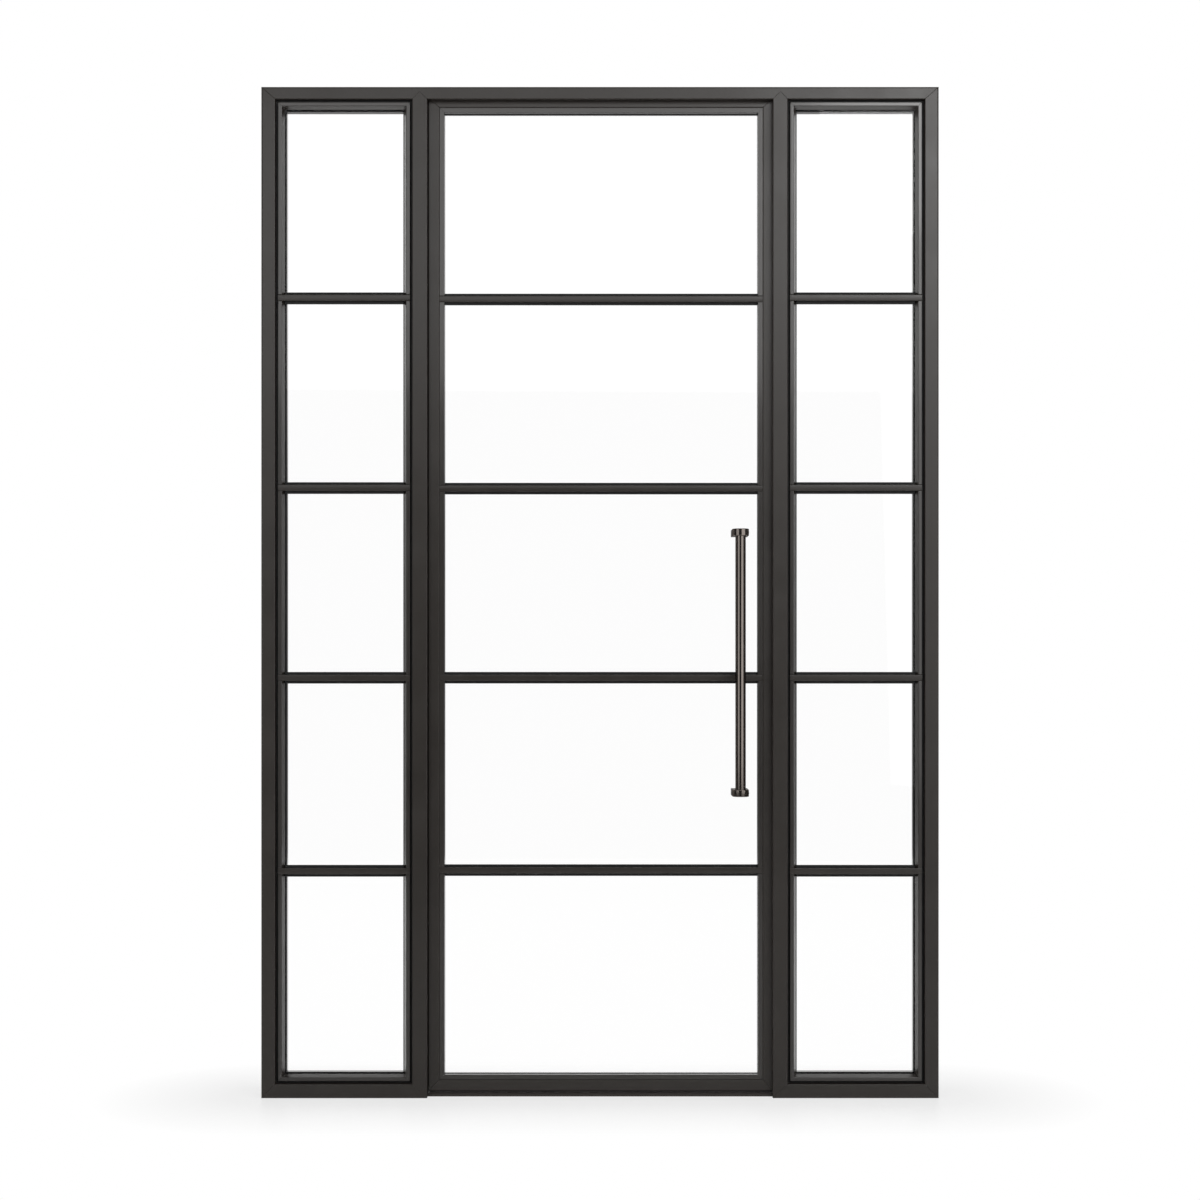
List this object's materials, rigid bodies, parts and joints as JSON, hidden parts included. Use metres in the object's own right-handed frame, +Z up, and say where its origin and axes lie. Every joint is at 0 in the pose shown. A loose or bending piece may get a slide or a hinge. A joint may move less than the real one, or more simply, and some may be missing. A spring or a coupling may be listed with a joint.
{
  "type": "glazed steel door with two fixed sidelights",
  "caption": "Narrow-framed glazed door hung between two fixed sidelights, with horizontal glazing bars and a long round pull handle.",
  "frame": {"origin": "middle of the threshold's underside, at floor level, on the middle plane of the frame's depth", "axes": "+Z up; +X to the right seen from the front; +Y from the front through to the back, the way the leaf opens"},
  "size_m": [1.635, 0.1169, 2.44],
  "materials": {
    "frame_paint": "satin charcoal powder coat",
    "bead_paint": "satin charcoal powder coat",
    "threshold_steel": "satin charcoal powder coat",
    "clear_glass": "clear laminated glass",
    "gasket_rubber": "matt black extruded gasket",
    "handle_metal": "satin dark bronzed steel",
    "hinge_metal": "satin blackened steel",
    "washer_plastic": "black nylon"
  },
  "bodies": {
    "frame": {"head": "frame_paint", "left_jamb": "frame_paint", "right_jamb": "frame_paint", "hinge_mullion": "frame_paint", "lock_mullion": "frame_paint", "left_bottom_rail": "frame_paint", "right_bottom_rail": "frame_paint", "threshold": "threshold_steel", "left_sidelight_front_stops": "bead_paint", "left_sidelight_rear_beads": "bead_paint", "right_sidelight_front_stops": "bead_paint", "right_sidelight_rear_beads": "bead_paint", "left_sidelight_glass": "clear_glass", "left_sidelight_front_gasket": "gasket_rubber", "left_sidelight_rear_gasket": "gasket_rubber", "left_sidelight_front_bars": "bead_paint", "left_sidelight_rear_bars": "bead_paint", "right_sidelight_glass": "clear_glass", "right_sidelight_front_gasket": "gasket_rubber", "right_sidelight_rear_gasket": "gasket_rubber", "right_sidelight_front_bars": "bead_paint", "right_sidelight_rear_bars": "bead_paint", "hinge_frame_knuckles": "hinge_metal", "hinge_pins": "hinge_metal", "door_seals": "gasket_rubber"},
    "leaf": {"leaf_hinge_stile": "frame_paint", "leaf_lock_stile": "frame_paint", "leaf_top_rail": "frame_paint", "leaf_bottom_rail": "frame_paint", "leaf_front_beads": "bead_paint", "leaf_rear_beads": "bead_paint", "leaf_glass": "clear_glass", "leaf_front_gasket": "gasket_rubber", "leaf_rear_gasket": "gasket_rubber", "leaf_front_bars": "bead_paint", "leaf_rear_bars": "bead_paint", "handle_bar": "handle_metal", "handle_brackets": "handle_metal", "handle_rear_caps": "handle_metal", "handle_studs": "handle_metal", "handle_washers": "washer_plastic", "hinge_leaf_knuckles": "hinge_metal"}
  },
  "joints": [
    {"name": "door_swing", "type": "hinge", "parent": "frame", "child": "leaf", "pos_m": [-0.4185, 0.038, 1.2], "axis": [0, 0, 1], "range_deg": [0, 100]}
  ]
}
